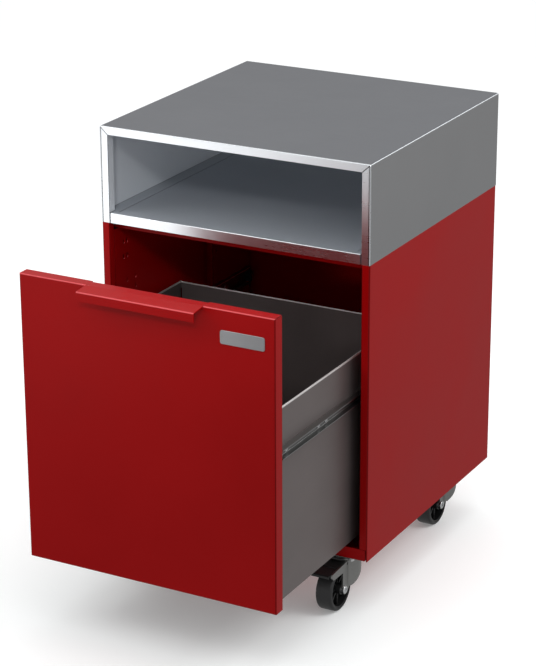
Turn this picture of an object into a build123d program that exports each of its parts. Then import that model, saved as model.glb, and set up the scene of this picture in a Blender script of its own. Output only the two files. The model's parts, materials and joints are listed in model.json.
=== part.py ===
from build123d import *
import math
import os

# Mobile pedestal: an open pigeonhole on a steel carcass, one deep filing drawer, four swivel casters.
# Millimetres. +Z is up, +X is to the right when facing the drawer, the drawer opens towards -Y.
# The origin is on the floor, under the middle of the pedestal with its drawer at the rest position.

# Carcass and pigeonhole
WIDTH = 400.0
DEPTH = 400.0
UNDER_CLEARANCE = 78.0
CARCASS_H = 415.0
CUBBY_H = 133.0
SHEET = 1.2
BEND = 2.2
FRONT_FLANGE = 12.0
TOP_FLANGE = 11.0
FLANGE_RETURN = 14.0
FRAME_RADIUS = 1.4
MITRE_START = 1.5
MITRE_GROOVE = 1.0
MITRE_OVERRUN = 0.22
SEAM_INSET = 2.2
SEAM_WIDTH = 1.0
RAIL_END_GAP = 1.8
FLOOR_SIDE_GAP = 0.8
FLOOR_GROOVE_X = 178.0
FLOOR_GROOVE_W = 1.3
FLOOR_GROOVE_DEPTH = 0.7
BASE_RAIL_H = 16.5
CUBBY_RAIL_H = 14.0
REAR_FLANGE = 12.0
FIT = 0.2

# Drawer
REST_OPENING = 222.0
FRONT_W = 367.4
FRONT_T = 17.0
FRONT_GAP_BELOW = 1.5
FRONT_GAP_ABOVE = 2.8
FRONT_BEND = 1.8
CORNER_SLIT = 0.7
PULL_W = 168.0
PULL_REACH = 23.0
PULL_DROP = 2.0
PULL_LIP = 12.0
PULL_SHEET = 1.5
BOX_W = 351.0
BOX_LENGTH = 365.5
BOX_BOTTOM_Z = 102.0
BOX_TOP_Z = 364.5
BOX_SHEET = 0.9
HEM = 10.0
HEM_GAP = 2.6
BOX_RADIUS = 1.25
WALL_FLANGE = 14.0
BOX_FLOOR_GAP = 0.05
BADGE_W = 62.0
BADGE_H = 18.0
BADGE_T = 1.0

# Ball-bearing slides
SLIDE_Z = 306.7
SLIDE_LENGTH = 350.0
SLIDE_SHEET = 1.2
OUTER_H = 27.0
INNER_H = 12.6
BALL_R = 2.8
BALL_COUNT = 6
CAGE_LENGTH = 84.0
CAGE_SHEET = 0.6
BALL_POCKET_FIT = 0.12

# Screws, bolts and nuts: shank and hole radii, and corner radii of hexagons
SCREW_R = 1.88
SCREW_HOLE_R = 1.9
SCREW_HEAD_R = 3.6
M4_R = 2.08
M4_HOLE_R = 2.1
M4_HEAD_R = 4.0
M5_R = 2.5
M5_HOLE_R = 2.75
M5_HEX_R = 4.6
M6_R = 3.0
M6_HOLE_R = 3.25
M6_HEX_R = 5.2
PRESS_FIT = 0.02

# Casters
WHEEL_R = 31.0
WHEEL_W = 24.0
TRAIL = 30.4
CASTER_X = 151.0
FRONT_CASTER_INSET = 30.0
REAR_CASTER_INSET = 60.0
PLATE_SIZE = 54.0
PLATE_T = 2.5
PLATE_HOLES = 43.0
FORK_HALF_W = 16.0
FORK_SHEET = 2.5
FORK_NOSE = 34.0
SKIRT_R = 24.0
SKIRT_Z = 68.0
OVERCUT = 3.0
AXLE_BOSS_R = 8.6
AXLE_HEAD_R = 5.4
AXLE_HEAD_T = 2.8
AXLE_NUT_R = 6.8
AXLE_NUT_T = 4.5
CAP_R = 24.5
SWIVEL_GAP = 4.0
AXLE_R = 4.0
PEDAL_PIVOT = (10.0, 65.2)
PEDAL_PIN_R = 1.9
PEDAL_HALF_W = 13.0
KINGPIN_R = 4.95
KINGPIN_HEAD_R = 9.0
SWIVEL_BALL_R = 1.9
SWIVEL_BALL_RING_R = 15.5
SWIVEL_BALL_COUNT = 12
HUB_R = 7.5
RIM_R = 26.5
RIM_SHEET = 2.0
RIB_HALF_W = 6.0
RIB_COUNT = 8
RUNNING_FIT = 0.06

# Levels and planes worked out from the dimensions above
HALF_W = WIDTH / 2
FRONT_Y = (REST_OPENING + PULL_REACH - DEPTH) / 2
BACK_Y = FRONT_Y + DEPTH
BASE_Z = UNDER_CLEARANCE
RAIL_TOP_Z = BASE_Z + BASE_RAIL_H
JOINT_Z = BASE_Z + CARCASS_H
TOP_Z = JOINT_Z + CUBBY_H
CUBBY_FLOOR_Z = JOINT_Z + CUBBY_RAIL_H
LINER_X = HALF_W - FRONT_FLANGE
FACE_Y = FRONT_Y - REST_OPENING
FACE_BACK_Y = FACE_Y + FRONT_T
FRONT_LOW_Z = RAIL_TOP_Z + FRONT_GAP_BELOW
FRONT_HIGH_Z = JOINT_Z - FRONT_GAP_ABOVE
FRONT_H = FRONT_HIGH_Z - FRONT_LOW_Z
BOX_HALF = BOX_W / 2
BOX_BACK_Y = FACE_BACK_Y + BOX_LENGTH
SLIDE_START_Y = FRONT_Y + FRONT_T + 1.5
OUTER_END_Y = SLIDE_START_Y + SLIDE_LENGTH + 4.5
PLATE_Z = BASE_Z - PLATE_T
CAP_T = 2.5
CAP_TOP_Z = PLATE_Z - SWIVEL_GAP
CHEEK_TOP_Z = CAP_TOP_Z - CAP_T

os.makedirs("parts", exist_ok=True)


# Helpers

def write_piece(piece, name):
    """Label a finished piece and write it under its own name."""
    piece.label = name
    export_step(piece, "parts/" + name + ".step")


def write_pair(piece, name):
    """Write a right-hand piece and its mirror image on the left."""
    with BuildPart() as opposite:
        mirror(piece, about=Plane.YZ)
    write_piece(piece, name + "_right")
    write_piece(opposite.part, name + "_left")


def plane_at_y(y):
    """Upright plane across the pedestal at depth y: local x is X, local y is Z."""
    return Plane(origin=(0, y, 0), x_dir=(1, 0, 0), z_dir=(0, -1, 0))


def plane_at_x(x):
    """Upright plane along the pedestal at x: local x is Y, local y is Z."""
    return Plane(origin=(x, 0, 0), x_dir=(0, 1, 0), z_dir=(1, 0, 0))


def folded_sheet(points, thickness=SHEET, radius=BEND, side=Side.LEFT):
    """Cross-section of a bent sheet: its outer face follows the points, its metal lies to one side."""
    with BuildSketch() as section:
        with BuildLine():
            FilletPolyline(*points, radius=radius)
            offset(amount=thickness, side=side)
        make_face()
    return section.sketch


# Carcass side panels: web, front flange with a return, rear flange, and relief notches at the bottom

with BuildPart() as carcass_side:
    with BuildSketch(Plane.XY.offset(BASE_Z)):
        add(folded_sheet([
            (LINER_X, FRONT_Y + 10),
            (LINER_X, FRONT_Y),
            (HALF_W, FRONT_Y),
            (HALF_W, BACK_Y),
            (HALF_W - REAR_FLANGE, BACK_Y),
        ]))
    extrude(amount=CARCASS_H)
    with BuildSketch(Plane.XY.offset(BASE_Z)):
        with Locations((HALF_W - SHEET - FRONT_FLANGE / 2 - 0.1, FRONT_Y + 5)):
            Rectangle(FRONT_FLANGE + 0.2, 16)
    extrude(amount=BASE_RAIL_H + 0.6, mode=Mode.SUBTRACT)
    with BuildSketch(Plane.XY.offset(BASE_Z + 12)):
        with Locations((HALF_W, BACK_Y)):
            Rectangle(6, 6)
    extrude(amount=1.6, mode=Mode.SUBTRACT)
write_pair(carcass_side.part, "carcass_side")

# Carcass back: a sheet with forward flanges, held inside the rear flanges of the sides

back_half_w = HALF_W - SHEET - FIT
with BuildPart() as carcass_back:
    with BuildSketch(Plane.XY.offset(RAIL_TOP_Z + 0.5)):
        add(folded_sheet([
            (-back_half_w, BACK_Y - SHEET - 12),
            (-back_half_w, BACK_Y - SHEET),
            (back_half_w, BACK_Y - SHEET),
            (back_half_w, BACK_Y - SHEET - 12),
        ], side=Side.RIGHT))
    extrude(amount=CARCASS_H - BASE_RAIL_H - 0.5)
write_piece(carcass_back.part, "carcass_back")

# Places that the casters and their bolts share

caster_spots = {
    "front_left": (-CASTER_X, FRONT_Y + FRONT_CASTER_INSET),
    "front_right": (CASTER_X, FRONT_Y + FRONT_CASTER_INSET),
    "rear_left": (-CASTER_X, BACK_Y - REAR_CASTER_INSET),
    "rear_right": (CASTER_X, BACK_Y - REAR_CASTER_INSET),
}
caster_centres = list(caster_spots.values())
bolt_spots = [
    (x + dx * PLATE_HOLES / 2, y + dy * PLATE_HOLES / 2)
    for x, y in caster_centres
    for dx in (-1, 1)
    for dy in (-1, 1)
]

# Carcass base: a tray with upturned edges, its front edge is the bottom rail of the drawer opening

with BuildPart() as carcass_base:
    with BuildSketch(Plane.XY.offset(BASE_Z)):
        with Locations((0, (FRONT_Y + BACK_Y - SHEET - FIT) / 2)):
            Rectangle(WIDTH - 2 * SHEET - 3.0, DEPTH - SHEET - FIT)
    extrude(amount=BASE_RAIL_H)
    fillet(carcass_base.faces().sort_by(Axis.Z)[0].edges(), BEND)
    offset(amount=-SHEET, openings=carcass_base.faces().sort_by(Axis.Z)[-1])
    with BuildSketch(Plane.XY.offset(BASE_Z)):
        with Locations(*bolt_spots):
            Circle(M6_HOLE_R)
    extrude(amount=SHEET, mode=Mode.SUBTRACT)
write_piece(carcass_base.part, "carcass_base")

# Carcass top panel: closes the carcass under the pigeonhole, set back behind the drawer front

cubby_bolt_spots = [(x, y) for x in (-150, 150) for y in (FRONT_Y + 60, BACK_Y - 60)]
top_front_y = FRONT_Y + FRONT_T + 2.5
top_back_y = BACK_Y - 2 * SHEET - FIT
with BuildPart() as carcass_top_panel:
    with BuildSketch(Plane.XY.offset(JOINT_Z - 12)):
        with Locations((0, (top_front_y + top_back_y - 12) / 2)):
            Rectangle(2 * (HALF_W - SHEET - FIT), top_back_y - 12 - top_front_y)
    extrude(amount=12)
    offset(amount=-SHEET, openings=carcass_top_panel.faces().sort_by(Axis.Z)[0])
    with BuildSketch(Plane.XY.offset(JOINT_Z - SHEET)):
        with Locations(*cubby_bolt_spots):
            Circle(M5_HOLE_R)
    extrude(amount=SHEET, mode=Mode.SUBTRACT)
write_piece(carcass_top_panel.part, "carcass_top_panel")

# Side liners: channels that bring the slides level with the front flanges, with slots for other heights

LINER_LOW_Z = RAIL_TOP_Z + 1.5
LINER_H = JOINT_Z - 13.5 - LINER_LOW_Z
liner_spans = {
    "front": (FRONT_Y + 10.5, FRONT_Y + 250),
    "rear": (FRONT_Y + 275, FRONT_Y + 385),
}
liner_slots = {
    "front": [(34, 457), (43, 456.5), (33.5, 435), (42.5, 435), (41, 400), (62, 400), (62, 386)],
    "rear": [(287, 369), (322, 369), (287, 405), (322, 405)],
}
slide_screw_spots = {
    "front": [(FRONT_Y + 60, SLIDE_Z), (FRONT_Y + 200, SLIDE_Z)],
    "rear": [(FRONT_Y + 310, SLIDE_Z)],
}
all_slide_screws = slide_screw_spots["front"] + slide_screw_spots["rear"]
for place, (start_y, end_y) in liner_spans.items():
    with BuildPart() as side_liner:
        with BuildSketch(Plane.XY.offset(LINER_LOW_Z)):
            add(folded_sheet([
                (HALF_W - SHEET - FIT, start_y),
                (LINER_X, start_y),
                (LINER_X, end_y),
                (HALF_W - SHEET - FIT, end_y),
            ], side=Side.RIGHT))
        extrude(amount=LINER_H)
        with BuildSketch(plane_at_x(LINER_X)):
            with Locations(*[(FRONT_Y + y, z) for y, z in liner_slots[place]]):
                SlotOverall(7, 4.4, rotation=90)
            with Locations(*slide_screw_spots[place]):
                Circle(SCREW_HOLE_R)
        extrude(amount=SHEET + 0.2, both=True, mode=Mode.SUBTRACT)
    write_pair(side_liner.part, "side_liner_" + place)

# Pigeonhole shell: sides and top bent from one sheet, with a mitred front frame and a seam by each post

frame_in_x = HALF_W - FRONT_FLANGE
frame_in_z = TOP_Z - TOP_FLANGE
with BuildPart() as cubby_shell:
    with BuildSketch(Plane.XY.offset(JOINT_Z)):
        with Locations((0, (FRONT_Y + BACK_Y) / 2)):
            Rectangle(WIDTH, DEPTH)
    extrude(amount=CUBBY_H)
    fillet(cubby_shell.edges().filter_by(Axis.Y).group_by(Axis.Z)[-1], BEND)
    front_rim = cubby_shell.faces().sort_by(Axis.Y)[0].edges()
    fillet(front_rim.sort_by(Axis.Z)[1:], FRAME_RADIUS)
    offset(
        amount=-SHEET,
        openings=[cubby_shell.faces().sort_by(Axis.Z)[0], cubby_shell.faces().sort_by(Axis.Y)[-1]],
    )
    with BuildSketch(plane_at_y(FRONT_Y)):
        with Locations((0, (JOINT_Z + frame_in_z) / 2)):
            Rectangle(2 * frame_in_x, frame_in_z - JOINT_Z)
    extrude(amount=-SHEET, mode=Mode.SUBTRACT)
    with BuildSketch(plane_at_y(FRONT_Y + SHEET)):
        with BuildLine():
            Polyline(
                (-frame_in_x, JOINT_Z), (-frame_in_x, frame_in_z), (frame_in_x, frame_in_z),
                (frame_in_x, JOINT_Z), (frame_in_x + SHEET, JOINT_Z),
                (frame_in_x + SHEET, frame_in_z + SHEET), (-frame_in_x - SHEET, frame_in_z + SHEET),
                (-frame_in_x - SHEET, JOINT_Z), close=True,
            )
        make_face()
    extrude(amount=-(FLANGE_RETURN - SHEET))
    mitre_run = FRONT_FLANGE - MITRE_START
    mitre_rise = TOP_FLANGE - MITRE_START
    mitre_length = math.hypot(mitre_run, mitre_rise) + 2 * MITRE_OVERRUN
    mitre_slope = math.degrees(math.atan2(mitre_rise, mitre_run))
    mitre_x = HALF_W - MITRE_START - mitre_run / 2
    mitre_z = TOP_Z - MITRE_START - mitre_rise / 2
    with BuildSketch(plane_at_y(FRONT_Y)):
        for hand in (-1, 1):
            with Locations((hand * mitre_x, mitre_z)):
                Rectangle(mitre_length, MITRE_GROOVE, rotation=hand * mitre_slope)
            with Locations((hand * (HALF_W - SEAM_INSET), (JOINT_Z + TOP_Z - SEAM_INSET) / 2)):
                Rectangle(SEAM_WIDTH, TOP_Z - SEAM_INSET - JOINT_Z)
    extrude(amount=-SHEET * 0.6, mode=Mode.SUBTRACT)
write_piece(cubby_shell.part, "cubby_shell")

# Pigeonhole floor: a tray turned downwards, its front edge is the lower rail of the front frame

floor_notch_x = frame_in_x - RAIL_END_GAP
floor_wide_x = HALF_W - SHEET - FLOOR_SIDE_GAP
floor_notch_y = FRONT_Y + FLANGE_RETURN + 0.5
floor_back_y = BACK_Y - 12.5
with BuildPart() as cubby_floor:
    with BuildSketch(Plane.XY.offset(JOINT_Z)):
        with BuildLine():
            Polyline(
                (-floor_notch_x, FRONT_Y), (floor_notch_x, FRONT_Y), (floor_notch_x, floor_notch_y),
                (floor_wide_x, floor_notch_y), (floor_wide_x, floor_back_y), (-floor_wide_x, floor_back_y),
                (-floor_wide_x, floor_notch_y), (-floor_notch_x, floor_notch_y), close=True,
            )
        make_face()
    extrude(amount=CUBBY_RAIL_H)
    fillet(cubby_floor.edges().filter_by(Axis.X).group_by(Axis.Y)[0].sort_by(Axis.Z)[-1], FRAME_RADIUS)
    offset(amount=-SHEET, openings=cubby_floor.faces().sort_by(Axis.Z)[0])
    for y in (FRONT_Y + SHEET + 40, floor_back_y - SHEET - 40):
        with BuildSketch(Plane.XY.offset(JOINT_Z)):
            with Locations((0, y)):
                Rectangle(2 * (floor_wide_x - SHEET), 40)
        extrude(amount=SHEET)
    with BuildSketch(Plane.XY.offset(JOINT_Z)):
        with Locations(*cubby_bolt_spots):
            Circle(M5_HOLE_R)
    extrude(amount=SHEET, mode=Mode.SUBTRACT)
    with BuildSketch(Plane.XY.offset(CUBBY_FLOOR_Z)):
        for hand in (-1, 1):
            with Locations((hand * FLOOR_GROOVE_X, (FRONT_Y + floor_back_y) / 2)):
                Rectangle(FLOOR_GROOVE_W, floor_back_y - FRONT_Y - 16)
    extrude(amount=-FLOOR_GROOVE_DEPTH, mode=Mode.SUBTRACT)
write_piece(cubby_floor.part, "cubby_floor")

# Pigeonhole back: a shallow tray pushed in flush with the rear edge of the shell

with BuildPart() as cubby_back:
    with BuildSketch(plane_at_y(BACK_Y - 12)):
        with Locations((0, (JOINT_Z + TOP_Z - SHEET) / 2)):
            Rectangle(2 * (HALF_W - SHEET - 0.4), CUBBY_H - SHEET - 0.8)
    extrude(amount=-12)
    fillet(cubby_back.faces().sort_by(Axis.Y)[-1].edges(), 1.6)
    offset(amount=-SHEET, openings=cubby_back.faces().sort_by(Axis.Y)[0])
write_piece(cubby_back.part, "cubby_back")

# Bolts and captive nuts that hold the pigeonhole down on the carcass

with BuildPart() as cubby_bolts:
    with BuildSketch(Plane.XY.offset(JOINT_Z - SHEET)):
        with Locations(*cubby_bolt_spots):
            RegularPolygon(M5_HEX_R, 6)
    extrude(amount=-3.5)
    with BuildSketch(Plane.XY.offset(JOINT_Z - SHEET)):
        with Locations(*cubby_bolt_spots):
            Circle(M5_R)
    extrude(amount=8.0)
write_piece(cubby_bolts.part, "cubby_bolts")

with BuildPart() as cubby_weld_nuts:
    with BuildSketch(Plane.XY.offset(JOINT_Z + SHEET)):
        with Locations(*cubby_bolt_spots):
            RegularPolygon(M5_HEX_R, 6)
            Circle(M5_R + PRESS_FIT, mode=Mode.SUBTRACT)
    extrude(amount=4.0)
write_piece(cubby_weld_nuts.part, "cubby_weld_nuts")

# Slide outer members: a channel with curled lips, screwed to the liners

lip_x = LINER_X - 8.5
outer_top = SLIDE_Z + OUTER_H / 2
outer_bottom = SLIDE_Z - OUTER_H / 2
with BuildPart() as slide_outer:
    with BuildSketch(plane_at_y(SLIDE_START_Y)):
        add(folded_sheet([
            (lip_x, outer_bottom + 3.2), (lip_x, outer_bottom), (LINER_X, outer_bottom),
            (LINER_X, outer_top), (lip_x, outer_top), (lip_x, outer_top - 3.2),
        ], thickness=SLIDE_SHEET, radius=1.5))
    extrude(amount=-(OUTER_END_Y - SLIDE_START_Y))
    with BuildSketch(plane_at_x(LINER_X)):
        with Locations(*all_slide_screws):
            Circle(SCREW_HOLE_R)
    extrude(amount=-SLIDE_SHEET - 0.2, mode=Mode.SUBTRACT)
write_pair(slide_outer.part, "slide_outer")

# Flat-headed screws that hold the outer members to the liners

with BuildPart() as slide_fixing_screws:
    with BuildSketch(plane_at_x(LINER_X - SLIDE_SHEET)):
        with Locations(*all_slide_screws):
            Circle(SCREW_HEAD_R)
    extrude(amount=-0.6)
    with BuildSketch(plane_at_x(LINER_X - SLIDE_SHEET)):
        with Locations(*all_slide_screws):
            Circle(SCREW_R)
    extrude(amount=6.5)
    mirror(about=Plane.YZ)
write_piece(slide_fixing_screws.part, "slide_fixing_screws")

# Rubber buffers at the rear end of the outer members, which the inner members meet when closed

with BuildPart() as slide_buffers:
    with BuildSketch(plane_at_y(OUTER_END_Y - 4.0)):
        with Locations((LINER_X - SLIDE_SHEET - 4.5, SLIDE_Z)):
            RectangleRounded(8.8, OUTER_H - 2 * SLIDE_SHEET - 7, 1.2)
    extrude(amount=-4.0)
    mirror(about=Plane.YZ)
write_piece(slide_buffers.part, "slide_buffers")

# Slide inner members: a narrow channel on each side of the drawer box

inner_tip_x = LINER_X - 3.8
inner_start_y = SLIDE_START_Y - REST_OPENING
drawer_screw_spots = [(FRONT_Y + y, SLIDE_Z) for y in (-183, -97.3, -76.1, 96)]
with BuildPart() as slide_inner:
    with BuildSketch(plane_at_y(inner_start_y)):
        add(folded_sheet([
            (inner_tip_x, SLIDE_Z + INNER_H / 2), (BOX_HALF, SLIDE_Z + INNER_H / 2),
            (BOX_HALF, SLIDE_Z - INNER_H / 2), (inner_tip_x, SLIDE_Z - INNER_H / 2),
        ], thickness=SLIDE_SHEET, radius=1.5))
    extrude(amount=-SLIDE_LENGTH)
    with BuildSketch(plane_at_x(BOX_HALF)):
        with Locations(*drawer_screw_spots):
            Circle(SCREW_HOLE_R)
    extrude(amount=SLIDE_SHEET + 0.2, mode=Mode.SUBTRACT)
write_pair(slide_inner.part, "slide_inner")

# Ball cages: a thin strip carrying two rows of balls between the inner and outer members

ball_z = SLIDE_Z + (INNER_H / 2 + OUTER_H / 2 - SLIDE_SHEET) / 2
ball_offset = ball_z - SLIDE_Z
ball_x = lip_x + SLIDE_SHEET + BALL_R + 0.1
cage_web_x = LINER_X - SLIDE_SHEET - 1.0
cage_centre_y = (SLIDE_START_Y + inner_start_y + SLIDE_LENGTH) / 2
ball_pitch = (CAGE_LENGTH - 10) / (BALL_COUNT - 1)
ball_spots = [
    (ball_x, cage_centre_y + (i - (BALL_COUNT - 1) / 2) * ball_pitch, SLIDE_Z + row * ball_offset)
    for i in range(BALL_COUNT)
    for row in (-1, 1)
]
with BuildPart() as ball_cage_strip:
    with BuildSketch(plane_at_y(cage_centre_y - CAGE_LENGTH / 2)):
        add(folded_sheet([
            (ball_x - 1.0, SLIDE_Z - ball_offset - 0.3), (cage_web_x, SLIDE_Z - ball_offset - 0.3),
            (cage_web_x, SLIDE_Z + ball_offset + 0.3), (ball_x - 1.0, SLIDE_Z + ball_offset + 0.3),
        ], thickness=CAGE_SHEET, radius=0.9))
    extrude(amount=-CAGE_LENGTH)
    with Locations(*ball_spots):
        Sphere(BALL_R + BALL_POCKET_FIT, mode=Mode.SUBTRACT)
with BuildPart() as ball_cage:
    add(ball_cage_strip.part)
    with Locations(*ball_spots):
        Sphere(BALL_R)
write_pair(ball_cage.part, "slide_ball_cage")

# Drawer front: a folded pan with slit corners, its top edge left open for the pull

with BuildPart() as drawer_front:
    with BuildSketch(plane_at_y(FACE_Y)):
        with Locations((0, (FRONT_LOW_Z + FRONT_HIGH_Z) / 2)):
            Rectangle(FRONT_W, FRONT_H)
    extrude(amount=-FRONT_T)
    fillet(drawer_front.faces().sort_by(Axis.Y)[0].edges(), FRONT_BEND)
    offset(amount=-SHEET, openings=drawer_front.faces().sort_by(Axis.Y)[-1])
    with BuildSketch(plane_at_y(FACE_Y + FRONT_BEND)):
        for hand in (-1, 1):
            with Locations((hand * FRONT_W / 2, FRONT_HIGH_Z)):
                Rectangle(5, CORNER_SLIT, rotation=hand * 45)
            with Locations((hand * FRONT_W / 2, FRONT_LOW_Z)):
                Rectangle(5, CORNER_SLIT, rotation=-hand * 45)
    extrude(amount=-FRONT_T, mode=Mode.SUBTRACT)
    with BuildSketch(Plane.XY.offset(FRONT_HIGH_Z)):
        with Locations((0, FACE_Y + FRONT_T / 2)):
            Rectangle(PULL_W + 0.4, FRONT_T + 2)
    extrude(amount=-2.4, mode=Mode.SUBTRACT)
write_piece(drawer_front.part, "drawer_front")

# Drawer front liner: closes the back of the pan and carries the box

with BuildPart() as drawer_front_liner:
    with BuildSketch(plane_at_y(FACE_BACK_Y - SHEET)):
        with Locations((0, (FRONT_LOW_Z + FRONT_HIGH_Z) / 2 - 0.8)):
            Rectangle(FRONT_W - 2 * SHEET - 2 * FIT, FRONT_H - 2 * SHEET - 2 * FIT - 1.6)
    extrude(amount=-SHEET)
write_piece(drawer_front_liner.part, "drawer_front_liner")

# Drawer pull: a bent tab in line with the top edge, with a turned-down lip for the fingers

pull_back_y = FACE_BACK_Y - SHEET - FIT
with BuildPart() as drawer_pull:
    with BuildSketch(plane_at_x(-PULL_W / 2)):
        add(folded_sheet([
            (pull_back_y, FRONT_HIGH_Z - 14), (pull_back_y, FRONT_HIGH_Z), (FACE_Y, FRONT_HIGH_Z),
            (FACE_Y - PULL_REACH, FRONT_HIGH_Z - PULL_DROP),
            (FACE_Y - PULL_REACH, FRONT_HIGH_Z - PULL_DROP - PULL_LIP),
        ], thickness=PULL_SHEET, radius=2.0))
    extrude(amount=PULL_W)
write_piece(drawer_pull.part, "drawer_pull")

# Blank badge plate on the upper right of the drawer front

with BuildPart() as drawer_badge:
    with BuildSketch(plane_at_y(FACE_Y)):
        with Locations((FRONT_W / 2 - 14 - BADGE_W / 2, FRONT_HIGH_Z - 26 - BADGE_H / 2)):
            RectangleRounded(BADGE_W, BADGE_H, 3)
    extrude(amount=BADGE_T)
    chamfer(drawer_badge.faces().sort_by(Axis.Y)[0].edges(), 0.4)
write_piece(drawer_badge.part, "drawer_badge")

# Drawer box sides: bottom flange, web and a hemmed top edge

with BuildPart() as drawer_side:
    with BuildSketch(plane_at_y(FACE_BACK_Y)):
        add(folded_sheet([
            (BOX_HALF - WALL_FLANGE, BOX_BOTTOM_Z), (BOX_HALF, BOX_BOTTOM_Z), (BOX_HALF, BOX_TOP_Z),
            (BOX_HALF - HEM_GAP, BOX_TOP_Z), (BOX_HALF - HEM_GAP, BOX_TOP_Z - HEM),
        ], thickness=BOX_SHEET, radius=BOX_RADIUS))
    extrude(amount=-BOX_LENGTH)
    with BuildSketch(plane_at_x(BOX_HALF)):
        with Locations(*drawer_screw_spots):
            Circle(SCREW_HOLE_R)
    extrude(amount=-BOX_SHEET - 0.2, mode=Mode.SUBTRACT)
write_pair(drawer_side.part, "drawer_side")

# Places of the screws between the box and the drawer front

front_screw_spots = [(x, z) for x in (-140, 140) for z in (150, 320)]

# Drawer box back and inner front: upright sheets with hemmed tops, between the sides

wall_half_w = BOX_HALF - HEM_GAP - 0.6
for wall, outer_y, inward in (
    ("drawer_back", BOX_BACK_Y, -1),
    ("drawer_inner_front", FACE_BACK_Y, 1),
):
    with BuildPart() as box_wall:
        with BuildSketch(plane_at_x(-wall_half_w)):
            add(folded_sheet([
                (outer_y + inward * WALL_FLANGE, BOX_BOTTOM_Z + BOX_SHEET + BOX_FLOOR_GAP),
                (outer_y, BOX_BOTTOM_Z + BOX_SHEET + BOX_FLOOR_GAP),
                (outer_y, BOX_TOP_Z - 0.4),
                (outer_y + inward * HEM_GAP, BOX_TOP_Z - 0.4),
                (outer_y + inward * HEM_GAP, BOX_TOP_Z - 0.4 - HEM),
            ], thickness=BOX_SHEET, radius=BOX_RADIUS, side=Side.LEFT if inward < 0 else Side.RIGHT))
        extrude(amount=2 * wall_half_w)
        if wall == "drawer_inner_front":
            with BuildSketch(plane_at_y(FACE_BACK_Y)):
                with Locations(*front_screw_spots):
                    Circle(M4_HOLE_R)
            extrude(amount=-BOX_SHEET - 0.2, mode=Mode.SUBTRACT)
    write_piece(box_wall.part, wall)

# Drawer bottom: a flat sheet lying on the flanges of the four walls

with BuildPart() as drawer_bottom:
    with BuildSketch(Plane.XY.offset(BOX_BOTTOM_Z + 2 * (BOX_SHEET + BOX_FLOOR_GAP))):
        with Locations((0, (FACE_BACK_Y + BOX_BACK_Y) / 2)):
            Rectangle(2 * (BOX_HALF - BOX_SHEET - 0.4), BOX_LENGTH - 2 * BOX_SHEET - 0.8)
    extrude(amount=BOX_SHEET)
write_piece(drawer_bottom.part, "drawer_bottom")

# Screws that join the box to the drawer front

with BuildPart() as drawer_front_screws:
    with BuildSketch(plane_at_y(FACE_BACK_Y + BOX_SHEET)):
        with Locations(*front_screw_spots):
            Circle(M4_HEAD_R)
    extrude(amount=-2.2)
    fillet(drawer_front_screws.faces().filter_by(Axis.Y).group_by(Axis.Y)[-1].edges(), 0.8)
    with BuildSketch(plane_at_y(FACE_BACK_Y + BOX_SHEET)):
        with Locations(*front_screw_spots):
            Circle(M4_R)
    extrude(amount=BOX_SHEET)
write_piece(drawer_front_screws.part, "drawer_front_screws")

# Pan-headed screws that hold the inner slide members to the box

with BuildPart() as drawer_slide_screws:
    with BuildSketch(plane_at_x(BOX_HALF + SLIDE_SHEET)):
        with Locations(*drawer_screw_spots):
            Circle(SCREW_HEAD_R - 0.2)
    extrude(amount=1.9)
    fillet(drawer_slide_screws.faces().filter_by(Axis.X).group_by(Axis.X)[-1].edges(), 0.7)
    with BuildSketch(plane_at_x(BOX_HALF + SLIDE_SHEET)):
        with Locations(*drawer_screw_spots):
            Circle(SCREW_R)
    extrude(amount=-SLIDE_SHEET - BOX_SHEET - 1.6)
    mirror(about=Plane.YZ)
write_piece(drawer_slide_screws.part, "drawer_slide_screws")

# Caster bolts and nuts: four to each top plate

with BuildPart() as caster_bolts:
    with BuildSketch(Plane.XY.offset(PLATE_Z)):
        with Locations(*bolt_spots):
            RegularPolygon(M6_HEX_R, 6)
    extrude(amount=-3.6)
    with BuildSketch(Plane.XY.offset(PLATE_Z)):
        with Locations(*bolt_spots):
            Circle(M6_R)
    extrude(amount=10.5)
write_piece(caster_bolts.part, "caster_bolts")

with BuildPart() as caster_nuts:
    with BuildSketch(Plane.XY.offset(BASE_Z + SHEET)):
        with Locations(*bolt_spots):
            RegularPolygon(M6_HEX_R, 6)
            Circle(M6_R + PRESS_FIT, mode=Mode.SUBTRACT)
    extrude(amount=4.5)
write_piece(caster_nuts.part, "caster_nuts")

# Kingpins: one headed rivet through the plate and fork of each caster

with BuildPart() as caster_kingpins:
    with BuildSketch(Plane.XY.offset(CHEEK_TOP_Z - 0.15)):
        with Locations(*caster_centres):
            Circle(KINGPIN_HEAD_R)
    extrude(amount=-2.6)
    fillet(caster_kingpins.faces().filter_by(Axis.Z).group_by(Axis.Z)[0].edges(), 1.2)
    with BuildSketch(Plane.XY.offset(CHEEK_TOP_Z - 0.15)):
        with Locations(*caster_centres):
            Circle(KINGPIN_R)
    extrude(amount=SWIVEL_GAP + CAP_T + 0.15 + PLATE_T - 0.2)
write_piece(caster_kingpins.part, "caster_kingpins")

# Swivel balls: a ring of balls between each plate and its fork

with BuildPart() as caster_swivel_balls:
    for x, y in caster_centres:
        with Locations(Plane(origin=(x, y, PLATE_Z - SWIVEL_GAP / 2))):
            with PolarLocations(SWIVEL_BALL_RING_R, SWIVEL_BALL_COUNT):
                Sphere(SWIVEL_BALL_R)
write_piece(caster_swivel_balls.part, "caster_swivel_balls")


# Caster pieces, each built around one caster's own places

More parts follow.
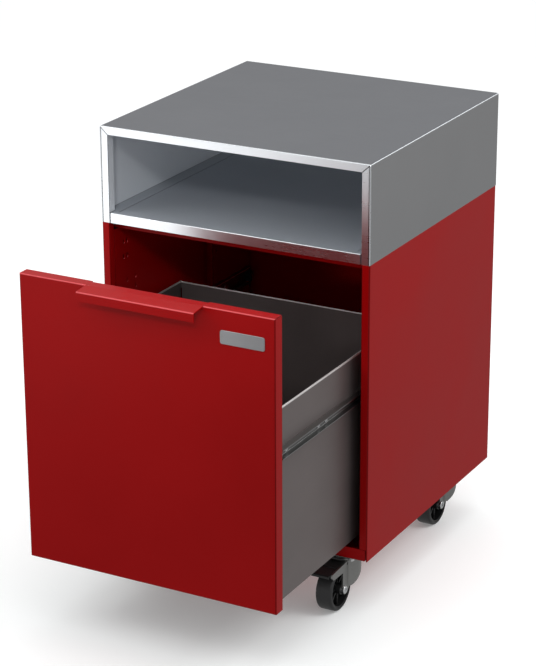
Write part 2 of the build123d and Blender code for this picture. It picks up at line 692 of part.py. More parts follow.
def caster_plate(x, y):
    """Square top plate with rounded corners, four bolt holes and the kingpin hole."""
    with BuildPart() as plate:
        with BuildSketch(Plane(origin=(x, y, PLATE_Z))):
            RectangleRounded(PLATE_SIZE, PLATE_SIZE, 5)
            with GridLocations(PLATE_HOLES, PLATE_HOLES, 2, 2):
                Circle(M6_HOLE_R, mode=Mode.SUBTRACT)
            Circle(KINGPIN_R + PRESS_FIT, mode=Mode.SUBTRACT)
        extrude(amount=PLATE_T)
    return plate.part


def fork_outline(inset):
    """Plan of the fork: two straight cheeks that run into a round part about the kingpin."""
    with BuildSketch() as outline:
        Circle(SKIRT_R - inset)
        with Locations((0, -(TRAIL + FORK_NOSE + OVERCUT + inset) / 2)):
            Rectangle(2 * (FORK_HALF_W - inset), TRAIL + FORK_NOSE + OVERCUT + inset)
    return outline.sketch


def caster_fork(x, y, with_brake):
    """Pressed fork: two cheeks down to the axle, a round rear skirt that joins them, and a cap."""
    axle_y = y - TRAIL
    cheeks_plane = Plane(origin=(x, axle_y, 0), x_dir=(0, 1, 0), z_dir=(1, 0, 0))
    past_skirt_y = TRAIL + CAP_R + OVERCUT
    past_top_z = CHEEK_TOP_Z + OVERCUT
    if with_brake:
        arm = [(-FORK_NOSE, 66.5), (-FORK_NOSE, 61), (-30, 57), (-3, 56.5)]
    else:
        arm = [(6, 66.5), (-3, 56.5)]
    with BuildPart() as fork:
        with BuildSketch(Plane(origin=(x, y, 0))):
            add(fork_outline(0))
            add(fork_outline(FORK_SHEET), mode=Mode.SUBTRACT)
        extrude(amount=CHEEK_TOP_Z)
        with BuildSketch(cheeks_plane):
            with BuildLine():
                Polyline(
                    (TRAIL - 20, past_top_z), (TRAIL - 20, CHEEK_TOP_Z), *arm, (-3, WHEEL_R), (16, WHEEL_R)
                )
                ThreePointArc((16, WHEEL_R), (37, 46.5), (past_skirt_y, SKIRT_Z))
                Polyline((past_skirt_y, SKIRT_Z), (past_skirt_y, past_top_z), (TRAIL - 20, past_top_z))
            make_face()
            with Locations((5, WHEEL_R)):
                Circle(AXLE_BOSS_R)
        extrude(amount=CAP_R + OVERCUT, both=True, mode=Mode.INTERSECT)
        with BuildSketch(Plane(origin=(x, y, CAP_TOP_Z))):
            Circle(CAP_R)
        extrude(amount=-CAP_T)
        with BuildSketch(Plane(origin=(x, y, CAP_TOP_Z))):
            Circle(KINGPIN_R + RUNNING_FIT)
        extrude(amount=-CAP_T, mode=Mode.SUBTRACT)
        with BuildSketch(cheeks_plane):
            with Locations((0, WHEEL_R)):
                Circle(AXLE_R + PRESS_FIT)
            if with_brake:
                with Locations(PEDAL_PIVOT):
                    Circle(PEDAL_PIN_R + RUNNING_FIT)
        extrude(amount=CAP_R + OVERCUT, both=True, mode=Mode.SUBTRACT)
    return fork.part


def caster_axle(x, y):
    """Axle bolt through the fork, with its nut."""
    centre = Plane(origin=(x, y - TRAIL, WHEEL_R), x_dir=(0, 1, 0), z_dir=(1, 0, 0))
    with BuildPart() as axle:
        with BuildSketch(centre.offset(-FORK_HALF_W - AXLE_NUT_T - 1)):
            Circle(AXLE_R)
        extrude(amount=2 * FORK_HALF_W + AXLE_NUT_T + 1)
        with BuildSketch(centre.offset(FORK_HALF_W)):
            Circle(AXLE_HEAD_R)
        extrude(amount=AXLE_HEAD_T)
        fillet(axle.faces().sort_by(Axis.X)[-1].edges(), 1.2)
        with BuildSketch(centre.offset(FORK_HALF_W + AXLE_HEAD_T)):
            RegularPolygon(2.8, 6)
        extrude(amount=-2.0, mode=Mode.SUBTRACT)
    with BuildPart() as nut:
        with BuildSketch(centre.offset(-FORK_HALF_W)):
            RegularPolygon(AXLE_NUT_R, 6)
            Circle(AXLE_R + PRESS_FIT, mode=Mode.SUBTRACT)
        extrude(amount=-AXLE_NUT_T)
    return Compound(children=[axle.part, nut.part])


def wheel_hub(x, y):
    """Moulded wheel centre: hub, thin web, rim and eight ribs."""
    centre = Plane(origin=(x, y - TRAIL, WHEEL_R), x_dir=(0, 1, 0), z_dir=(1, 0, 0))
    with BuildPart() as hub:
        with BuildSketch(centre.offset(-WHEEL_W / 2 + 0.8)):
            Circle(RIM_R)
            Circle(RIM_R - RIM_SHEET, mode=Mode.SUBTRACT)
        extrude(amount=WHEEL_W - 1.6)
        with BuildSketch(centre.offset(-1.5)):
            Circle(RIM_R - RIM_SHEET / 2)
        extrude(amount=3)
        with BuildSketch(centre.offset(-FORK_HALF_W + FORK_SHEET + 0.5)):
            Circle(HUB_R)
        extrude(amount=2 * (FORK_HALF_W - FORK_SHEET - 0.5))
        with BuildSketch(centre.offset(-RIB_HALF_W)):
            with PolarLocations((HUB_R + RIM_R - RIM_SHEET) / 2, RIB_COUNT):
                Rectangle(RIM_R - RIM_SHEET - HUB_R + 2, 2)
        extrude(amount=2 * RIB_HALF_W)
        with BuildSketch(centre.offset(-FORK_HALF_W)):
            Circle(AXLE_R + RUNNING_FIT)
        extrude(amount=2 * FORK_HALF_W, mode=Mode.SUBTRACT)
    return hub.part


def wheel_tyre(x, y):
    """Solid rubber tread with rounded shoulders, pressed over the rim."""
    centre = Plane(origin=(x, y - TRAIL, WHEEL_R), x_dir=(0, 1, 0), z_dir=(1, 0, 0))
    with BuildPart() as tyre:
        with BuildSketch(centre.offset(-WHEEL_W / 2)):
            Circle(WHEEL_R)
        extrude(amount=WHEEL_W)
        fillet(tyre.edges().filter_by(GeomType.CIRCLE), 3.6)
        with BuildSketch(centre.offset(-WHEEL_W / 2)):
            Circle(RIM_R)
        extrude(amount=WHEEL_W, mode=Mode.SUBTRACT)
    return tyre.part


def brake_pedal(x, y):
    """Toe lever between the fork cheeks: a stepped plate, two ears with trunnions, and a brake pad."""
    axle_y = y - TRAIL
    side = Plane(origin=(x, axle_y, 0), x_dir=(0, 1, 0), z_dir=(1, 0, 0))
    with BuildPart() as pedal:
        with BuildSketch(side):
            with BuildLine():
                Polyline(
                    (-40, 62.2), (-39, 61.7), (-37.6, 64.4), (-13, 64.4), (-13, 63.6), (-6, 63.6), (-6, 64.4),
                    (6, 64.4), (6, 62.6), (14, 62.6), (16, 64.4), (16, 67.4), (-13, 67.4), (-14.4, 66.2),
                    (-38.6, 66.2), (-40, 65.2), close=True,
                )
            make_face()
        extrude(amount=PEDAL_HALF_W, both=True)
        with BuildSketch(side):
            with Locations((5.2, 60)):
                Rectangle(24, 8.8)
        extrude(amount=PEDAL_HALF_W - 2.5, both=True, mode=Mode.SUBTRACT)
        with BuildSketch(side):
            with Locations(PEDAL_PIVOT):
                Circle(PEDAL_PIN_R)
        extrude(amount=FORK_HALF_W - 0.2, both=True)
    return pedal.part


for corner, (x, y) in caster_spots.items():
    braked = corner.startswith("front")
    prefix = "caster_" + corner
    write_piece(caster_plate(x, y), prefix + "_plate")
    write_piece(caster_fork(x, y, braked), prefix + "_fork")
    write_piece(caster_axle(x, y), prefix + "_axle")
    write_piece(wheel_hub(x, y), prefix + "_wheel_hub")
    write_piece(wheel_tyre(x, y), prefix + "_tyre")
    if braked:
        write_piece(brake_pedal(x, y), prefix + "_brake_pedal")
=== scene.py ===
# %% [markdown]
# # A mobile pedestal with a filing drawer
# This lesson dresses a finished steel pedestal: a grey open pigeonhole over a red carcass, one deep drawer
# on ball-bearing slides, and four small casters. The shapes come from CAD, so they already fit together.
# What is left is the part a maker does last: paint, plate, rubber, light and a camera.

# %% Load the fixed frame
import json
import math

import bpy
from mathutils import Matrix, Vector


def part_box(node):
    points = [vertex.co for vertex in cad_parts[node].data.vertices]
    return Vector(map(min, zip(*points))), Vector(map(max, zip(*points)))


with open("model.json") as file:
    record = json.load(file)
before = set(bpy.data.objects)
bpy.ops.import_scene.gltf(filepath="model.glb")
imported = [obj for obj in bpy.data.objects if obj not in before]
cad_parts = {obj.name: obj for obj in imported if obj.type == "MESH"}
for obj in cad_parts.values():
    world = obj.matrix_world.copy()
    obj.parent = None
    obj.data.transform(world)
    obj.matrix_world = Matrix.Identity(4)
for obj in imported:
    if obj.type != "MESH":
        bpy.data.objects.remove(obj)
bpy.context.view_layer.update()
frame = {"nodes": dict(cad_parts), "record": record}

nodes = frame["nodes"]

# %% [markdown]
# ## Levels to work from
# A finish that changes along a sheet, such as a bright front frame on a grey shell, has to know where
# the sheet is. Reading the places from the pieces keeps the finishes right if a size changes later.

# %% Read the levels of the sheet metal
shell_low, shell_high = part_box("cubby_shell")
HALF_WIDTH = shell_high.x
FRAME_FRONT = shell_low.y
BACK = shell_high.y
TOP = shell_high.z
CUBBY_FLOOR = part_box("cubby_floor")[1].z
BOX_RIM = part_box("drawer_side_right")[1].z
print("shell", shell_low, shell_high, "box rim", BOX_RIM)

# %% [markdown]
# ## Small tools for wiring
# Every finish below is a short chain of nodes. Five helpers keep each chain readable: they add a node
# and set its sockets, do one sum, make a node group with named sockets, place one, and start a material.

# %% Helpers for nodes, groups and materials
def add_node(tree, kind, values=None, **settings):
    """A node of that kind, with its settings and the starting values of its sockets."""
    node = tree.nodes.new(kind)
    for name, value in settings.items():
        setattr(node, name, value)
    for name, value in (values or {}).items():
        node.inputs[name].default_value = value
    return node


def work_out(tree, operation, *given):
    """One sum. Each thing given is wired in if it is a socket, and set if it is a number."""
    node = add_node(tree, "ShaderNodeMath", operation=operation)
    for socket, value in zip(node.inputs, given):
        if isinstance(value, bpy.types.NodeSocket):
            tree.links.new(value, socket)
        else:
            socket.default_value = value
    return node.outputs[0]


def new_group(name, inputs, outputs):
    """An empty node group and its two ends. inputs is (name, kind, starting value)."""
    tree = bpy.data.node_groups.new(name, "ShaderNodeTree")
    for label, kind, value in inputs:
        socket = tree.interface.new_socket(label, in_out="INPUT", socket_type="NodeSocket" + kind)
        if value is not None:
            socket.default_value = value
    for label, kind in outputs:
        tree.interface.new_socket(label, in_out="OUTPUT", socket_type="NodeSocket" + kind)
    return tree, tree.nodes.new("NodeGroupInput").outputs, tree.nodes.new("NodeGroupOutput").inputs


def use_group(tree, group, vector, values=None):
    """A placed group that reads the same coordinates as the rest of its material."""
    node = add_node(tree, "ShaderNodeGroup", node_tree=bpy.data.node_groups[group])
    for name, value in (values or {}).items():
        node.inputs[name].default_value = value
    tree.links.new(vector, node.inputs["Vector"])
    return node


def start_material(name, **sockets):
    """A Principled material, its even values set on the shader itself, and its Object coordinates."""
    material = bpy.data.materials.new(name)
    material.use_nodes = True
    tree = material.node_tree
    shader = tree.nodes["Principled BSDF"]
    for label, value in sockets.items():
        shader.inputs[label.replace("_", " ")].default_value = value
    place = add_node(tree, "ShaderNodeTexCoord").outputs["Object"]
    return material, tree, shader, place


print("helpers ready")

# %% [markdown]
# ## Orange peel
# Powder coat is sprayed dry and baked, and as it flows it keeps soft dimples one or two millimetres
# apart. A small bump from noise gives them. Two sizes of noise are mixed, because a single size looks
# like a printed pattern. Paint also pools a little, so the same group gives a slow change of gloss.

# %% Group: orange peel and slow gloss change
PEEL_DEPTH = 0.0004


def spread_roughness(tree, given, mask, low, high):
    """The group's roughness, less its spread where the mask is low and more where it is high."""
    spread = add_node(tree, "ShaderNodeMapRange", {"From Min": low, "From Max": high})
    tree.links.new(mask, spread.inputs["Value"])
    for operation, end in (("SUBTRACT", "To Min"), ("ADD", "To Max")):
        tree.links.new(work_out(tree, operation, given["Roughness"], given["Spread"]), spread.inputs[end])
    return spread.outputs["Result"]


def make_orange_peel():
    tree, given, result = new_group(
        "orange_peel",
        [("Vector", "Vector", None), ("Pitch", "Float", 600.0), ("Height", "Float", 0.06),
         ("Roughness", "Float", 0.4), ("Spread", "Float", 0.05)],
        [("Roughness", "Float"), ("Tone", "Float"), ("Normal", "Vector")])
    link = tree.links.new
    fine = add_node(tree, "ShaderNodeTexNoise", {"Detail": 2.0, "Roughness": 0.45})
    slow = add_node(tree, "ShaderNodeTexNoise", {"Scale": 6.0, "Detail": 3.0, "Roughness": 0.55})
    bump = add_node(tree, "ShaderNodeBump", {"Distance": PEEL_DEPTH})
    link(given["Vector"], fine.inputs["Vector"])
    link(given["Pitch"], fine.inputs["Scale"])
    link(given["Vector"], slow.inputs["Vector"])
    link(fine.outputs["Fac"], bump.inputs["Height"])
    link(given["Height"], bump.inputs["Strength"])
    link(spread_roughness(tree, given, slow.outputs["Fac"], 0.3, 0.7), result["Roughness"])
    link(slow.outputs["Fac"], result["Tone"])
    link(bump.outputs["Normal"], result["Normal"])


make_orange_peel()
print("group orange_peel")

# %% [markdown]
# ## Rolling grain
# Bare sheet leaves the mill with fine lines along its length. Noise squeezed hard across one direction
# draws them. The grain also tires the shine in places, so the group gives a mask for the colour and a
# roughness besides the bump.

# %% Group: rolling grain
GRAIN_DEPTH = 0.0002
LINE_SHARE = 0.45


def make_rolling_grain():
    tree, given, result = new_group(
        "rolling_grain",
        [("Vector", "Vector", None), ("Stretch", "Vector", (40.0, 3.0, 900.0)), ("Height", "Float", 0.05),
         ("Roughness", "Float", 0.35), ("Spread", "Float", 0.06)],
        [("Roughness", "Float"), ("Tone", "Float"), ("Normal", "Vector")])
    link = tree.links.new
    squeeze = add_node(tree, "ShaderNodeVectorMath", operation="MULTIPLY")
    lines = add_node(tree, "ShaderNodeTexNoise", {"Scale": 1.0, "Detail": 4.0, "Roughness": 0.6})
    cloud = add_node(tree, "ShaderNodeTexNoise", {"Scale": 9.0, "Detail": 4.0, "Roughness": 0.6})
    bump = add_node(tree, "ShaderNodeBump", {"Distance": GRAIN_DEPTH})
    link(given["Vector"], squeeze.inputs[0])
    link(given["Stretch"], squeeze.inputs[1])
    link(squeeze.outputs[0], lines.inputs["Vector"])
    link(given["Vector"], cloud.inputs["Vector"])
    both = work_out(tree, "MULTIPLY_ADD", lines.outputs["Fac"], LINE_SHARE, cloud.outputs["Fac"])
    link(lines.outputs["Fac"], bump.inputs["Height"])
    link(given["Height"], bump.inputs["Strength"])
    link(spread_roughness(tree, given, both, 0.45, 0.95), result["Roughness"])
    link(both, result["Tone"])
    link(bump.outputs["Normal"], result["Normal"])


make_rolling_grain()
print("group rolling_grain")

# %% [markdown]
# ## Bends: painted highlight and painted shade
# A folded sheet shows its folds more than its faces. A fold that turns upwards faces the lamps and draws a
# thin light line; a fold between two upright faces looks at neither lamp and draws a thin dark one. These
# masks paint the light line into the colour as a painted highlight and the dark line as a painted shade.
# The
# direction a spot faces tells them apart: a flat face points along one axis, a bend along two.

# %% Group: masks for a painted highlight on upward bends and painted shade in upright bends
BEND_STARTS, BEND_FULL = 0.16, 0.42


def make_bend_masks():
    tree, given, result = new_group("bend_masks", [], [("Ridge_highlight", "Float"), ("Crease_shade", "Float")])
    facing = add_node(tree, "ShaderNodeSeparateXYZ")
    tree.links.new(add_node(tree, "ShaderNodeNewGeometry").outputs["Normal"], facing.inputs[0])
    east, north, up = facing.outputs
    level = work_out(tree, "SQRT", work_out(tree, "SUBTRACT", 1.0, work_out(tree, "MULTIPLY", up, up)))
    upward = work_out(tree, "MULTIPLY", level, up)
    upright = work_out(tree, "ABSOLUTE", work_out(tree, "MULTIPLY", east, north))
    # The first mask marks where a highlight is painted on upward bends, the second where shade is painted
    # in upright bends.
    for bend, label in ((upward, "Ridge_highlight"), (upright, "Crease_shade")):
        mask = add_node(tree, "ShaderNodeMapRange", {"From Min": BEND_STARTS, "From Max": BEND_FULL})
        tree.links.new(bend, mask.inputs["Value"])
        tree.links.new(mask.outputs["Result"], result[label])


def find_bends(tree):
    """The two bend masks, for painted highlight and painted shade, placed in a material. They read the
    faces themselves, so they take no input.
    """
    return add_node(tree, "ShaderNodeGroup", node_tree=bpy.data.node_groups["bend_masks"]).outputs


make_bend_masks()
print("group bend_masks")

# %% [markdown]
# ## A tone that varies
# No sheet is one colour. A ramp between two close colours, driven by the slow noise of the finish,
# keeps a large flat panel from looking like a cut-out.

# %% Helpers: two close colours on a mask, and one colour over another
def mix_colours(tree, mask, dark, light, low=0.3, high=0.7):
    """Base colour that runs from dark to light as the mask runs from low to high."""
    ramp = add_node(tree, "ShaderNodeValToRGB")
    ramp.color_ramp.elements[0].position = low
    ramp.color_ramp.elements[1].position = high
    ramp.color_ramp.elements[0].color = (*dark, 1.0)
    ramp.color_ramp.elements[1].color = (*light, 1.0)
    tree.links.new(mask, ramp.inputs["Fac"])
    return ramp.outputs["Color"]


def lay_over(tree, below, colour, mask, strength=1.0):
    """The colour below, covered by another one where the mask is, up to that strength."""
    over = add_node(tree, "ShaderNodeMix", {"B": (*colour, 1.0)}, data_type="RGBA")
    tree.links.new(work_out(tree, "MULTIPLY", mask, strength), over.inputs["Factor"])
    tree.links.new(below, over.inputs["A"])
    return over.outputs["Result"]


def finish_with(tree, shader, effect, colour):
    """Wires a group's roughness and normal and a colour into the shader."""
    tree.links.new(effect.outputs["Roughness"], shader.inputs["Roughness"])
    tree.links.new(effect.outputs["Normal"], shader.inputs["Normal"])
    tree.links.new(colour, shader.inputs["Base Color"])


print("colour helpers ready")

# %% [markdown]
# ## Red powder coat
# The carcass and the drawer front are sprayed a deep red. Powder coat is a plastic skin, so it is not
# metallic: a dark saturated base with a satin sheen on top, and the peel group for its surface. Its upward
# bends get a painted highlight and its upright bends a painted shade, laid into the colour.

# %% Material: red powder coat
PEEL_PITCH = 650.0
# Painted highlight for upward bends and painted shade for upright bends, with their strengths:
RIDGE_PAINTED_HIGHLIGHT = (0.62, 0.105, 0.115)
RIDGE_HIGHLIGHT_SHARE = 0.80
CREASE_PAINTED_SHADE = (0.060, 0.0004, 0.0006)
CREASE_SHADE_SHARE = 0.65


def make_red_coat():
    material, tree, shader, place = start_material("red_powder_coat", IOR=1.5, Specular_IOR_Level=0.10)
    peel = use_group(tree, "orange_peel", place,
                     {"Pitch": PEEL_PITCH, "Height": 0.10, "Roughness": 0.36, "Spread": 0.04})
    colour = mix_colours(tree, peel.outputs["Tone"], (0.285, 0.0008, 0.0013), (0.310, 0.0011, 0.0018))
    bends = find_bends(tree)
    # Painted highlight on upward bends, then painted shade in upright bends.
    colour = lay_over(tree, colour, RIDGE_PAINTED_HIGHLIGHT, bends["Ridge_highlight"], RIDGE_HIGHLIGHT_SHARE)
    colour = lay_over(tree, colour, CREASE_PAINTED_SHADE, bends["Crease_shade"], CREASE_SHADE_SHARE)
    finish_with(tree, shader, peel, colour)
    return material


red_coat = make_red_coat()
print(red_coat.name)

# %% [markdown]
# ## Grey shell with a bright front frame
# The pigeonhole is one wrapped sheet. Its outside is a smooth even grey, while the narrow front frame stays
# lighter and catches far more light. The inside is laid a lighter grey as painted light, and the top and
# the shelf darker greys as painted shade. One material can do it all: masks made from the object's own
# coordinates pick out the outside skin, the top, the inside, the shelf and the seams.

# %% Masks: where on the shell a spot is
OUTSIDE_SKIN = 0.0004
FRAME_DEPTH = 0.0016
SEAM_DEPTH = 0.00072
GROOVE_DEPTH = 0.0007
SEAM_BAND = 0.00009


def mask_shell(tree, place):
    """Masks of one on each region of the shell, by name."""
    split = add_node(tree, "ShaderNodeSeparateXYZ")
    tree.links.new(place, split.inputs[0])
    across, along, height = split.outputs
    on_side = work_out(tree, "GREATER_THAN", work_out(tree, "ABSOLUTE", across), HALF_WIDTH - OUTSIDE_SKIN)
    on_top = work_out(tree, "GREATER_THAN", height, TOP - OUTSIDE_SKIN)
    on_back = work_out(tree, "GREATER_THAN", along, BACK - OUTSIDE_SKIN)
    on_shelf = work_out(tree, "LESS_THAN", height, CUBBY_FLOOR + SEAM_BAND)
    behind_frame = work_out(tree, "GREATER_THAN", along, FRAME_FRONT + FRAME_DEPTH)
    skin = work_out(tree, "MAXIMUM", work_out(tree, "MAXIMUM", on_side, on_top), on_back)
    outside = work_out(tree, "MULTIPLY", skin, behind_frame)
    inside = work_out(tree, "SUBTRACT", behind_frame, outside)
    in_seam = work_out(tree, "COMPARE", along, FRAME_FRONT + SEAM_DEPTH, SEAM_BAND)
    in_groove = work_out(tree, "COMPARE", height, CUBBY_FLOOR - GROOVE_DEPTH, SEAM_BAND)
    # The inside mask carries painted light; the top, shelf and gap masks carry painted shade.
    return {"behind_frame": behind_frame, "outside": outside, "inside": inside,
            "top": work_out(tree, "MULTIPLY", on_top, behind_frame),
            "shelf": work_out(tree, "MULTIPLY", on_shelf, inside),
            "gap": work_out(tree, "MAXIMUM", in_seam, work_out(tree, "MULTIPLY", in_groove, inside))}


print("shell masks for levels", FRAME_FRONT, TOP, CUBBY_FLOOR)

# %% [markdown]
# The regions then get their own greys, one laid over the other: the lighter inside is painted light, and
# the darker top and shelf are painted shade. Behind the frame the sheet is painted, so it is also rougher
# and less of a mirror there. The seams are laid nearly black, a painted shade of the gaps between sheets.

# %% Material: pigeonhole shell
# Painted light and shade: a lighter inside grey, darker greys for the top and shelf, near black for the
# seams.
INSIDE_PAINTED_LIGHT_GREY = (0.88, 0.92, 0.96)
SHELF_PAINTED_SHADE_GREY = (0.36, 0.385, 0.42)
TOP_PAINTED_SHADE_GREY = (0.116, 0.120, 0.130)
SEAM_PAINTED_SHADE = (0.015, 0.015, 0.017)
FRAME_METAL, PAINTED_METAL = 1.0, 0.35
PAINT_ROUGHER = 0.16


def make_shell_steel():
    material, tree, shader, place = start_material("satin_grey_steel", Specular_IOR_Level=0.2)
    link = tree.links.new
    masks = mask_shell(tree, place)
    grain = use_group(tree, "rolling_grain", place,
                      {"Stretch": (14.0, 500.0, 500.0), "Height": 0.02, "Roughness": 0.28, "Spread": 0.03})
    bare = mix_colours(tree, grain.outputs["Tone"], (0.74, 0.77, 0.80), (0.80, 0.83, 0.86), 0.4, 1.0)
    coat = mix_colours(tree, grain.outputs["Tone"], (0.212, 0.214, 0.219), (0.228, 0.230, 0.235), 0.4, 1.0)
    base = add_node(tree, "ShaderNodeMix", data_type="RGBA")
    link(masks["outside"], base.inputs["Factor"])
    link(bare, base.inputs["A"])
    link(coat, base.inputs["B"])
    # Painted light on the inside, painted shade on the top, the shelf and the seams.
    shade = lay_over(tree, base.outputs["Result"], INSIDE_PAINTED_LIGHT_GREY, masks["inside"])
    shade = lay_over(tree, shade, TOP_PAINTED_SHADE_GREY, masks["top"])
    shade = lay_over(tree, shade, SHELF_PAINTED_SHADE_GREY, masks["shelf"])
    shade = lay_over(tree, shade, SEAM_PAINTED_SHADE, masks["gap"])
    rough = work_out(tree, "MULTIPLY_ADD", masks["behind_frame"], PAINT_ROUGHER, grain.outputs["Roughness"])
    metal = add_node(tree, "ShaderNodeMapRange", {"To Min": FRAME_METAL, "To Max": PAINTED_METAL})
    link(masks["behind_frame"], metal.inputs["Value"])
    link(metal.outputs["Result"], shader.inputs["Metallic"])
    link(rough, shader.inputs["Roughness"])
    link(grain.outputs["Normal"], shader.inputs["Normal"])
    link(shade, shader.inputs["Base Color"])
    return material


shell_steel = make_shell_steel()
print(shell_steel.name)

# %% [markdown]
# ## Bare and plated metals
# The drawer box, the slides, the bolts and the caster forks are all grey metal, yet the eye tells them
# apart by grain, gloss and depth of grey. One function makes them all, each with its own numbers. The
# slides also get a painted highlight laid on their upward bends, where their channels are rolled over.

# %% Materials: plain metals
METAL_HIGHLIGHT_SHARE = 0.9


def make_metal(name, dark, light, stretch, height, roughness, spread, painted_highlight=None):
    material, tree, shader, place = start_material(name, Metallic=1.0)
    grain = use_group(tree, "rolling_grain", place,
                      {"Stretch": stretch, "Height": height, "Roughness": roughness, "Spread": spread})
    colour = mix_colours(tree, grain.outputs["Tone"], dark, light, 0.4, 1.0)
    # Painted highlight on the upward bends, laid into the colour.
    if painted_highlight:
        colour = lay_over(tree, colour, painted_highlight, find_bends(tree)["Ridge_highlight"], METAL_HIGHLIGHT_SHARE)
    finish_with(tree, shader, grain, colour)
    return material


slide_steel = make_metal("slide_steel", (0.25, 0.25, 0.25), (0.31, 0.31, 0.305),
                         (700.0, 10.0, 700.0), 0.03, 0.30, 0.02, painted_highlight=(0.85, 0.85, 0.84))
bearing_steel = make_metal("bearing_steel", (0.58, 0.58, 0.60), (0.70, 0.70, 0.71),
                           (400.0, 400.0, 400.0), 0.02, 0.14, 0.05)
fastener_zinc = make_metal("zinc_fasteners", (0.62, 0.63, 0.64), (0.78, 0.79, 0.80),
                           (500.0, 500.0, 500.0), 0.06, 0.24, 0.08)
caster_zinc = make_metal("caster_steel", (0.24, 0.24, 0.235), (0.32, 0.32, 0.31),
                         (260.0, 260.0, 260.0), 0.06, 0.34, 0.05)
plate_metal = make_metal("badge_plate", (0.30, 0.30, 0.31), (0.40, 0.40, 0.41),
                         (6.0, 300.0, 1500.0), 0.05, 0.32, 0.04)
print("metals made")

# %% [markdown]
# ## Drawer box sheet
# The box is dull grey sheet that picks up the red around it. Its folded rim gets a painted highlight: a
# mask of its own height lays a bright grey there as one thin light line.

# %% Material: drawer box
RIM_BAND = 0.0020
RIM_PAINTED_HIGHLIGHT = (0.72, 0.70, 0.69)


def make_box_steel():
    material, tree, shader, place = start_material("drawer_box_steel", Metallic=0.75)
    grain = use_group(tree, "rolling_grain", place,
                      {"Stretch": (300.0, 8.0, 600.0), "Height": 0.03, "Roughness": 0.42, "Spread": 0.05})
    split = add_node(tree, "ShaderNodeSeparateXYZ")
    tree.links.new(place, split.inputs[0])
    # The top band of the rim is painted bright as a highlight.
    rim_highlight = work_out(tree, "GREATER_THAN", split.outputs["Z"], BOX_RIM - RIM_BAND)
    sheet = mix_colours(tree, grain.outputs["Tone"], (0.175, 0.150, 0.147), (0.215, 0.186, 0.182), 0.4, 1.0)
    finish_with(tree, shader, grain, lay_over(tree, sheet, RIM_PAINTED_HIGHLIGHT, rim_highlight))
    return material


box_steel = make_box_steel()
print(box_steel.name)

# %% [markdown]
# ## Black plastic and rubber
# The pedal and wheel centres are moulded plastic with a fine spark texture. The tread is rubber: softer
# looking and a little greyer. Both reuse the peel group at other sizes.

# %% Materials: plastic and rubber
def make_moulded(name, dark, light, pitch, height, roughness, spread):
    material, tree, shader, place = start_material(name, IOR=1.5)
    skin = use_group(tree, "orange_peel", place,
                     {"Pitch": pitch, "Height": height, "Roughness": roughness, "Spread": spread})
    finish_with(tree, shader, skin, mix_colours(tree, skin.outputs["Tone"], dark, light))
    return material


black_plastic = make_moulded("black_plastic", (0.006, 0.006, 0.0065), (0.010, 0.010, 0.0105),
                             1800.0, 0.22, 0.38, 0.06)
tread_rubber = make_moulded("tread_rubber", (0.012, 0.012, 0.0125), (0.020, 0.020, 0.021),
                            1100.0, 0.16, 0.48, 0.09)
buffer_rubber = make_moulded("black_rubber", (0.010, 0.010, 0.010), (0.016, 0.016, 0.016),
                             1500.0, 0.20, 0.62, 0.08)
print("plastic and rubber made")

# %% [markdown]
# ## Dressing the pieces
# Each piece names the slot of its finish in the record, so the finishes are handed out by slot. A new
# piece that joins the record is then dressed without another line here.

# %% Give every piece its finish
finishes = {m.name.split(".")[0]: m for m in (
    red_coat, shell_steel, box_steel, slide_steel, bearing_steel, fastener_zinc,
    caster_zinc, plate_metal, black_plastic, tread_rubber, buffer_rubber)}
for part in frame["record"]["subparts"]:
    piece = nodes[part["node"]]
    piece.data.materials.clear()
    piece.data.materials.append(finishes[part["material_slot"]])

# %% [markdown]
# ## The floor
# The pedestal stands in a white studio. The floor is plain matt paint that glows faintly, so shadows stay
# pale. It is left out of what the pieces mirror and of what lights them, and picks up little colour.

# %% Floor
FLOOR_SIZE = 60.0
FLOOR_WHITE = (0.88, 0.90, 0.90, 1.0)
FLOOR_GLOW = 0.16
PURE_WHITE = (1.0, 1.0, 1.0, 1.0)
bpy.ops.object.select_all(action="DESELECT")
bpy.ops.mesh.primitive_plane_add(size=FLOOR_SIZE, location=(0, 0, 0))
floor = bpy.context.object
floor.name = "studio_floor"
floor_paint = start_material(
    "studio_floor_paint", Roughness=0.75, Base_Color=FLOOR_WHITE, Specular_IOR_Level=0.2,
    Emission_Color=PURE_WHITE, Emission_Strength=FLOOR_GLOW)[0]
floor.data.materials.append(floor_paint)
floor.visible_glossy = False
floor.visible_diffuse = False
print("floor", FLOOR_SIZE)

# %% [markdown]
# ## The white room
# The room's own light comes mostly from above, and less at eye level and below, as it would in a studio
# with a lit ceiling. Steel mirrors that change, which is what makes its panels look curved and flat in
# the right places. The camera itself sees plain white in every direction.

# %% Room light
SKY_DOWN, SKY_LEVEL, SKY_UP = 0.38, 0.47, 1.15


def wire_sky(tree):
    """Grey below, lighter at eye level, brightest overhead. To the camera itself it is plain white."""
    link = tree.links.new
    height = add_node(tree, "ShaderNodeSeparateXYZ")
    above = add_node(tree, "ShaderNodeMapRange", {"To Min": 0.0, "To Max": SKY_UP - SKY_LEVEL})
    below = add_node(tree, "ShaderNodeMapRange", {
        "From Min": -1.0, "From Max": 0.0, "To Min": SKY_DOWN, "To Max": SKY_LEVEL})
    link(add_node(tree, "ShaderNodeTexCoord").outputs["Generated"], height.inputs[0])
    link(height.outputs["Z"], above.inputs["Value"])
    link(height.outputs["Z"], below.inputs["Value"])
    total = work_out(tree, "ADD", above.outputs["Result"], below.outputs["Result"])
    to_camera = add_node(tree, "ShaderNodeLightPath").outputs["Is Camera Ray"]
    link(work_out(tree, "MAXIMUM", total, to_camera), tree.nodes["Background"].inputs["Strength"])


world = bpy.data.worlds.new("white_room")
bpy.context.scene.world = world
world.use_nodes = True
world.node_tree.nodes["Background"].inputs["Color"].default_value = PURE_WHITE
wire_sky(world.node_tree)
print("room", SKY_DOWN, SKY_LEVEL, SKY_UP)

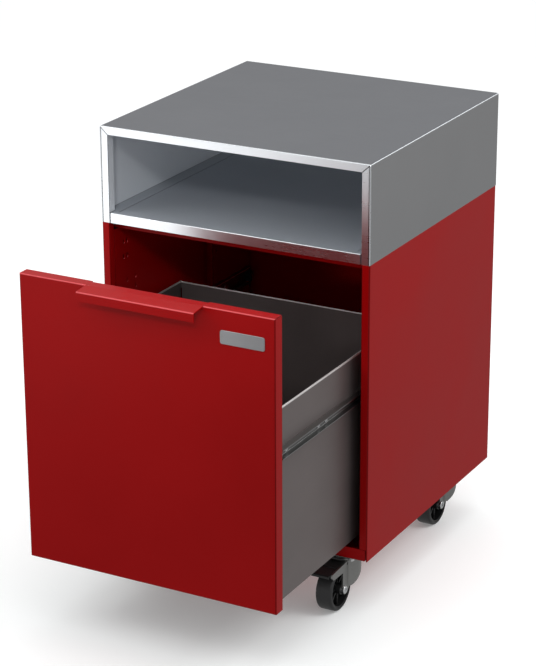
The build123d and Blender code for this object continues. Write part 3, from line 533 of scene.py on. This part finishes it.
# %% [markdown]
# ## The lamps
# A broad soft box overhead makes the shadow beneath, and one on each side shapes the faces. A low card on
# the left is what the bright front frame mirrors. Two narrow spots reach into the openings.

# %% Lamps
SPOT_CONE = 9.0
SPOT_SOFTNESS = 0.25


def hang_lamp(name, kind, place, aim, power):
    """A lamp that looks at a point."""
    lamp = bpy.data.lights.new(name, kind)
    lamp.energy = power
    holder = bpy.data.objects.new(name, lamp)
    bpy.context.scene.collection.objects.link(holder)
    holder.location = place
    holder.rotation_euler = (Vector(aim) - Vector(place)).to_track_quat("-Z", "Y").to_euler()
    return holder


def soft_box(name, place, aim, width, height, power):
    """A rectangular area light."""
    box = hang_lamp(name, "AREA", place, aim, power)
    box.data.shape = "RECTANGLE"
    box.data.size, box.data.size_y = width, height
    return box


def spot_lamp(name, place, aim, power):
    """A soft-edged spot that reaches into an opening."""
    spot = hang_lamp(name, "SPOT", place, aim, power)
    spot.data.spot_size, spot.data.spot_blend = math.radians(SPOT_CONE), 1.0
    spot.data.shadow_soft_size = SPOT_SOFTNESS
    return spot


soft_box("overhead_box", (0.2, 0.2, 2.1), (0.0, 0.0, 0.3), 1.6, 1.6, 8.0)
soft_box("left_box", (-1.6, -1.3, 1.9), (0.0, -0.2, 0.50), 1.0, 1.0, 12.0)
soft_box("right_box", (1.7, 0.2, 1.8), (0.1, 0.1, 0.55), 0.9, 0.9, 14.5)
low_card = soft_box("low_card", (-1.15, -1.45, 0.06), (-0.2, -0.08, 0.55), 0.9, 0.6, 2.3)
low_card.visible_camera = False
spot_lamp("pigeonhole_spot", (1.0, -2.6, 1.05), (-0.02, 0.05, 0.565), 95.0)
spot_lamp("opening_spot", (0.8, -2.1, 1.9), (-0.16, 0.0, 0.41), 190.0)
print("lamps", len(bpy.data.lights))

# %% [markdown]
# ## The camera
# The view is from the front right, a little above, through a long lens. The lens matters: a short one
# from close by would splay the uprights, a long one keeps the sheet metal square.

# %% Camera
CAMERA_PLACE = Vector((1.4549, -2.6470, 1.4640))
AZIMUTH, ELEVATION, ROLL = 28.6213, 20.3669, -0.2665
LENS_MM, SENSOR_MM = 160.07, 36.0


def place_camera():
    turn, rise, roll = (math.radians(a) for a in (AZIMUTH, ELEVATION, ROLL))
    back = Vector((math.sin(turn) * math.cos(rise), -math.cos(turn) * math.cos(rise), math.sin(rise)))
    right = (-back).cross(Vector((0, 0, 1))).normalized()
    up = back.cross(right)
    rolled_right = right * math.cos(roll) + up * math.sin(roll)
    rolled_up = up * math.cos(roll) - right * math.sin(roll)
    lens = bpy.data.cameras.new("studio_camera")
    lens.lens, lens.sensor_width, lens.sensor_fit = LENS_MM, SENSOR_MM, "HORIZONTAL"
    camera = bpy.data.objects.new("studio_camera", lens)
    bpy.context.scene.collection.objects.link(camera)
    matrix = camera.matrix_world.to_3x3()
    matrix.col[0], matrix.col[1], matrix.col[2] = rolled_right, rolled_up, back
    camera.matrix_world = matrix.to_4x4()
    camera.location = CAMERA_PLACE
    return camera


bpy.context.scene.camera = place_camera()
bpy.context.scene.view_settings.view_transform = "Standard"
print("camera at", CAMERA_PLACE)
